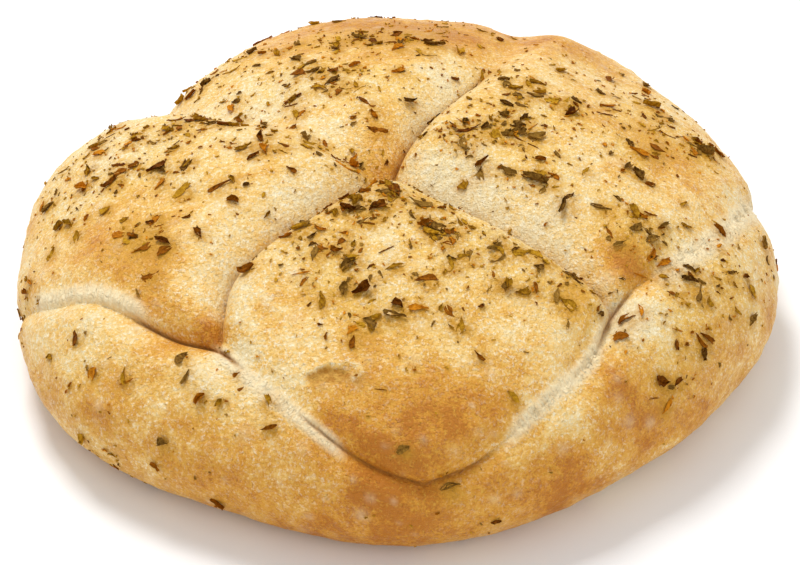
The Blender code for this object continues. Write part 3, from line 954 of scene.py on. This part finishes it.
def make_herbs(flakes):
    """One joined mesh for each kind of leaf scrap."""
    draw = random.Random(HERB_SEED + 2)
    parts = {name: ([], [], []) for name in HERB_COLOURS}
    here, axes = crust_frames(flakes)
    for place, turned, (_, _, length, width, _, colour) in zip(here, axes, flakes):
        points, faces, shade = leaf_shape(length, width, draw)
        places, joined, shades = parts[colour]
        offset = sum(len(part) for part in places)
        places.append(points * MM @ turned.T + place)
        joined.extend(tuple(index + offset for index in face) for face in faces)
        shades.extend(shade)
    herbs = []
    for name, (places, joined, shades) in parts.items():
        mesh = bpy.data.meshes.new(f"herbs_{name}")
        mesh.from_pydata(np.vstack(places).tolist(), [], joined)
        mesh.shade_flat()
        number_attribute(mesh, "shade", shades)
        piece = bpy.data.objects.new(f"herbs_{name}", mesh)
        bpy.context.scene.collection.objects.link(piece)
        herbs.append(piece)
    return herbs


def fit_to_cad(pieces):
    """Brings the pieces' common box to the CAD's, from which fine relief takes it by a few tenths of a
    millimetre."""
    corners = []
    for piece in pieces:
        points = np.zeros(len(piece.data.vertices) * 3)
        piece.data.vertices.foreach_get("co", points)
        points = points.reshape(-1, 3)
        corners += [points.min(axis=0), points.max(axis=0)]
    low, high = np.min(corners, axis=0), np.max(corners, axis=0)
    cad_low, cad_high = (np.array(corner) for corner in CAD_BOUNDS)
    scale = Matrix.Diagonal((*((cad_high - cad_low) / (high - low)), 1))
    fit = Matrix.Translation(cad_low) @ scale @ Matrix.Translation(-low)
    for piece in pieces:
        piece.data.transform(fit)


class Nodes:
    """Short calls for building a material's node tree."""

    def __init__(self, name):
        self.material = bpy.data.materials.new(name)
        self.material.use_nodes = True
        self.tree = self.material.node_tree
        self.shader = self.tree.nodes["Principled BSDF"]
        self.place = self.tree.nodes.new("ShaderNodeTexCoord").outputs["Object"]

    def join(self, value, socket):
        if isinstance(value, bpy.types.NodeSocket):
            self.tree.links.new(value, socket)
        else:
            socket.default_value = value

    def attribute(self, name):
        node = self.tree.nodes.new("ShaderNodeAttribute")
        node.attribute_name = name
        return node.outputs["Fac"]

    def vector(self, *values):
        node = self.tree.nodes.new("ShaderNodeCombineXYZ")
        for value, socket in zip(values, node.inputs):
            self.join(value, socket)
        return node.outputs[0]

    def noise(self, wavelength_mm, detail=2.0, roughness=0.5, distortion=0.0, place=None):
        """Noise over the object, or over a place that is already counted in wavelengths."""
        node = self.tree.nodes.new("ShaderNodeTexNoise")
        self.join(self.place if place is None else place, node.inputs["Vector"])
        node.inputs["Scale"].default_value = 1 / (wavelength_mm * MM) if place is None else 1
        node.inputs["Detail"].default_value = detail
        node.inputs["Roughness"].default_value = roughness
        node.inputs["Distortion"].default_value = distortion
        return node.outputs["Fac"]

    def math(self, operation, *values, clamp=False):
        node = self.tree.nodes.new("ShaderNodeMath")
        node.operation = operation
        node.use_clamp = clamp
        for value, socket in zip(values, node.inputs):
            self.join(value, socket)
        return node.outputs[0]

    def centred(self, value, strength):
        """A 0 to 1 value made to swing round zero."""
        return self.math("MULTIPLY", self.math("SUBTRACT", value, 0.5), strength)

    def ramp(self, value, stops):
        node = self.tree.nodes.new("ShaderNodeValToRGB")
        self.join(value, node.inputs["Fac"])
        elements = node.color_ramp.elements
        while len(elements) < len(stops):
            elements.new(0.5)
        for element, (position, colour) in zip(elements, stops):
            element.position = position
            element.color = (*colour, 1)
        return node.outputs["Color"]

    def mix(self, share, first, second):
        node = self.tree.nodes.new("ShaderNodeMix")
        node.data_type = "RGBA"
        self.join(share, node.inputs["Factor"])
        for value, name in ((first, "A"), (second, "B")):
            socket = next(s for s in node.inputs if s.name == name and s.type == "RGBA")
            self.join(value if isinstance(value, bpy.types.NodeSocket) else (*value, 1), socket)
        return next(s for s in node.outputs if s.type == "RGBA")

    def bump(self, height, strength, distance_mm, normal=None):
        node = self.tree.nodes.new("ShaderNodeBump")
        node.inputs["Strength"].default_value = strength
        node.inputs["Distance"].default_value = distance_mm * MM
        self.join(height, node.inputs["Height"])
        if normal is not None:
            self.join(normal, node.inputs["Normal"])
        return node.outputs["Normal"]


# Colours of the crust from pale to well baked
BAKE_COLOURS = (
    (0.00, (0.870, 0.740, 0.455)),
    (0.22, (0.890, 0.660, 0.305)),
    (0.42, (0.880, 0.550, 0.160)),
    (0.60, (0.750, 0.372, 0.054)),
    (0.80, (0.660, 0.275, 0.020)),
    (1.00, (0.500, 0.165, 0.009)),
)
# What lies over them: a film of oil, the gaps of the fine froth and painted glints on its crests, bubbles,
# stains that also carry painted flake shadows, and painted shade in the fissures
OIL = (0.83, 0.53, 0.090)
FROTH_GAPS = (0.76, 0.45, 0.060)
PAINTED_FROTH_GLINTS = (0.97, 0.88, 0.64)
BUBBLE = (0.90, 0.75, 0.50)
STAIN_AND_SHADOW = (0.56, 0.265, 0.014)
PAINTED_CRACK_SHADE = (0.42, 0.17, 0.03)
# Torn crust, and stretched dough from its gaps to its strands
TORN_COLOURS = ((0.35, (0.48, 0.20, 0.018)), (0.62, (0.70, 0.38, 0.070)))
DOUGH_COLOURS = ((0.30, (0.95, 0.70, 0.37)), (0.60, (1.00, 0.87, 0.58)))


def baked(nodes, grain, speckle):
    """Colour of the baking level, with the painted shade and highlights it carries, grainy and mottled."""
    mottle = nodes.noise(4.5, detail=4, roughness=0.65, distortion=0.6)
    level = nodes.math("ADD", nodes.attribute("bake_and_shade"), nodes.centred(grain, 0.65))
    level = nodes.math("ADD", level, nodes.centred(mottle, 0.74))
    level = nodes.math("ADD", level, nodes.centred(speckle, 0.6), clamp=True)
    return nodes.ramp(level, BAKE_COLOURS)


def frothed(nodes, colour, froth):
    """Oil over a colour, golden in the froth's gaps, and painted highlights as glints on the froth's
    crests, most on the pale crust.
    """
    oil = nodes.attribute("oil")
    colour = nodes.mix(nodes.math("MULTIPLY", oil, 0.35), colour, OIL)
    gaps = nodes.math("MULTIPLY_ADD", froth, -7.0, 3.2, clamp=True)
    gaps = nodes.math("MULTIPLY", gaps, nodes.math("MULTIPLY_ADD", oil, 0.35, 0.45))
    colour = nodes.mix(gaps, colour, FROTH_GAPS)
    # painted highlights: glints on the froth's crests, fading out on the browner crust
    glints = nodes.math("MULTIPLY_ADD", froth, 8.0, -4.2, clamp=True)
    paleness = nodes.math("MULTIPLY_ADD", nodes.attribute("bake_and_shade"), -1.3, 1.25, clamp=True)
    return nodes.mix(nodes.math("MULTIPLY", glints, paleness), colour, PAINTED_FROTH_GLINTS)


def dough_strands(nodes):
    """Fine noise drawn out across the cuts."""
    along = nodes.math("MULTIPLY", nodes.attribute("along"), 1.9)
    across = nodes.math("MULTIPLY", nodes.attribute("across"), 0.35)
    place = nodes.vector(along, across, 0.0)
    return nodes.noise(1, detail=3, roughness=0.6, distortion=0.6, place=place)


def doughy(nodes, colour, strands_fine):
    """Torn strips of dough with ragged edges over a colour."""
    raggedness = nodes.math("MULTIPLY", strands_fine, -0.5)
    share = nodes.math("MULTIPLY_ADD", nodes.attribute("strip"), 1.25, raggedness)
    share = nodes.math("MULTIPLY", nodes.math("ADD", share, 0.05, clamp=True), 0.85)
    return nodes.mix(share, colour, nodes.ramp(strands_fine, DOUGH_COLOURS))


def stained_and_shadowed(nodes, colour, grain):
    """Oil stains with painted flake shadows, painted shade in the fissures, and the torn blister over a
    colour.
    """
    grainy = nodes.math("MULTIPLY_ADD", grain, 2.4, -0.45, clamp=True)
    # oil stains, partly a painted shadow of each flake
    colour = nodes.mix(nodes.math("MULTIPLY", nodes.attribute("stain_and_shadow"), grainy), colour, STAIN_AND_SHADOW)
    # painted shade darkening the bottoms of the fissures
    colour = nodes.mix(nodes.math("MULTIPLY", nodes.attribute("crack_shade"), 0.8), colour, PAINTED_CRACK_SHADE)
    torn = nodes.math("MULTIPLY", nodes.attribute("torn"), 1.7, clamp=True)
    return nodes.mix(torn, colour, nodes.ramp(grain, TORN_COLOURS))


def crust_material():
    """Baked crust: cream where it stayed pale, golden to orange-brown where it browned, grainy and oily."""
    nodes = Nodes("baked_crust")
    grain = nodes.noise(1.2, detail=3, roughness=0.65)
    speckle = nodes.noise(0.5, detail=2, roughness=0.6)
    froth = nodes.noise(0.85, detail=3, roughness=0.72)
    strands_fine = dough_strands(nodes)
    colour = frothed(nodes, baked(nodes, grain, speckle), froth)
    colour = nodes.mix(nodes.math("MULTIPLY", nodes.attribute("bubble"), 0.38), colour, BUBBLE)
    colour = stained_and_shadowed(nodes, doughy(nodes, colour, strands_fine), grain)
    nodes.join(colour, nodes.shader.inputs["Base Color"])
    rough = nodes.math("MULTIPLY_ADD", nodes.noise(1.6), 0.7, 0.12)
    nodes.join(rough, nodes.shader.inputs["Roughness"])
    nodes.shader.inputs["Specular IOR Level"].default_value = 0.28
    normal = nodes.bump(grain, 0.8, 0.8)
    normal = nodes.bump(speckle, 0.8, 0.4, normal)
    normal = nodes.bump(froth, 0.7, 0.6, normal)
    normal = nodes.bump(nodes.math("MULTIPLY", strands_fine, nodes.attribute("strip")), 0.7, 0.8, normal)
    nodes.join(normal, nodes.shader.inputs["Normal"])
    return nodes.material


def herb_material(name, dark, light):
    """Dry leaf: mottled between its dark and its light colour, each scrap with a shade of its own."""
    nodes = Nodes(f"dried_leaf_{name}")
    mottle = nodes.noise(0.6, detail=3, roughness=0.6)
    shade = nodes.math("MULTIPLY_ADD", nodes.attribute("shade"), 0.60, nodes.centred(mottle, 2.0))
    colour = nodes.ramp(nodes.math("ADD", shade, 0.10, clamp=True), ((0.0, dark), (1.0, light)))
    nodes.join(colour, nodes.shader.inputs["Base Color"])
    nodes.join(nodes.math("MULTIPLY_ADD", mottle, 0.3, 0.45), nodes.shader.inputs["Roughness"])
    nodes.shader.inputs["Specular IOR Level"].default_value = 0.05
    nodes.join(nodes.bump(nodes.noise(0.3), 0.8, 0.15), nodes.shader.inputs["Normal"])
    return nodes.material


FLOOR_SIZE = 6
FLOOR_TONES = ((0.91, 0.91, 0.91), (0.93, 0.93, 0.93))


def make_floor():
    bpy.ops.mesh.primitive_plane_add(size=FLOOR_SIZE)
    floor = bpy.context.object
    floor.name = "floor"
    nodes = Nodes("pale_floor")
    nodes.join(nodes.mix(nodes.noise(60), *FLOOR_TONES), nodes.shader.inputs["Base Color"])
    nodes.shader.inputs["Roughness"].default_value = 0.8
    floor.data.materials.append(nodes.material)


# The camera looks at this point of the loaf, in the frame of the skin points
CAMERA_TARGET = np.array((-0.17, -22.58, 25)) * MM
CAMERA_DISTANCE = 0.5
CAMERA_ELEVATION = 38
# Focal length in pixels of the photo's 800 pixel width
FOCAL_PIXELS = 2180
PHOTO_WIDTH = 800
SENSOR_WIDTH = 36


def make_camera():
    data = bpy.data.cameras.new("camera")
    data.sensor_width = SENSOR_WIDTH
    data.lens = FOCAL_PIXELS * SENSOR_WIDTH / PHOTO_WIDTH
    camera = bpy.data.objects.new("camera", data)
    bpy.context.scene.collection.objects.link(camera)
    elevation = math.radians(CAMERA_ELEVATION)
    back = Vector((0, -math.cos(elevation), math.sin(elevation)))
    camera.location = Vector(CAMERA_TARGET - MIDDLE) + back * CAMERA_DISTANCE
    camera.rotation_euler = (math.pi / 2 - elevation, 0, 0)
    bpy.context.scene.camera = camera


# Area lights: place, size in metres and power. The white surroundings: their strength
KEY_LIGHT = ((-0.25, 0.45, 1.0), 0.35, 8.5)
FILL_LIGHT = ((0.5, -0.9, 0.7), 0.8, 2.4)
STUDIO_STRENGTH = 0.68


def area_light(name, place, size, power):
    data = bpy.data.lights.new(name, "AREA")
    data.size = size
    data.energy = power
    light = bpy.data.objects.new(name, data)
    light.location = place
    light.rotation_euler = (-Vector(place)).to_track_quat("-Z", "Y").to_euler()
    bpy.context.scene.collection.objects.link(light)


def make_light():
    area_light("key_light", *KEY_LIGHT)
    area_light("fill_light", *FILL_LIGHT)
    world = bpy.data.worlds.new("studio")
    world.use_nodes = True
    background = world.node_tree.nodes["Background"]
    background.inputs["Color"].default_value = (1.0, 1.0, 1.0, 1)
    background.inputs["Strength"].default_value = STUDIO_STRENGTH
    bpy.context.scene.world = world
    bpy.context.scene.view_settings.view_transform = "Standard"


def dress(piece, material):
    piece.data.materials.append(material)
    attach(piece, "root")


def main():
    flakes = herb_flakes() + crumbs_and_stems()
    bread = make_bread(flakes)
    herbs = make_herbs(flakes)
    fit_to_cad([bread, *herbs])
    dress(bread, crust_material())
    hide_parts("focaccia")
    for piece in herbs:
        kind = piece.name.removeprefix("herbs_")
        dress(piece, herb_material(kind, *HERB_COLOURS[kind]))
    make_floor()
    make_camera()
    make_light()


main()
